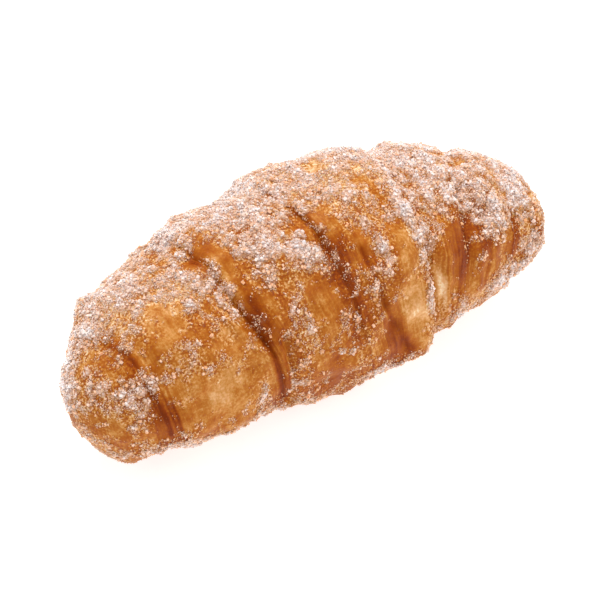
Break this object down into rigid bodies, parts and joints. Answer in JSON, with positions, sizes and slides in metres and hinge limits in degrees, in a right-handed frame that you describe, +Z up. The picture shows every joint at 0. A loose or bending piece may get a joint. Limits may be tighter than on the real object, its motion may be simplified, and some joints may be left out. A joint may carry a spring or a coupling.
{
  "type": "cream-filled fried pastry",
  "caption": "Straight roll of overlapping wraps of fried dough, like a croissant, rounded at both tips, coated with sugar and resting on a flattened base.",
  "frame": {"origin": "centre of the flattened base, on the surface that the pastry lies on", "axes": "+X along the roll to its slimmer tip, +Y from the front to the back, +Z up"},
  "size_m": [0.15, 0.064, 0.0584],
  "materials": {
    "fried_dough": "satin"
  },
  "bodies": {
    "root": {"pastry": "fried_dough"}
  },
  "joints": []
}
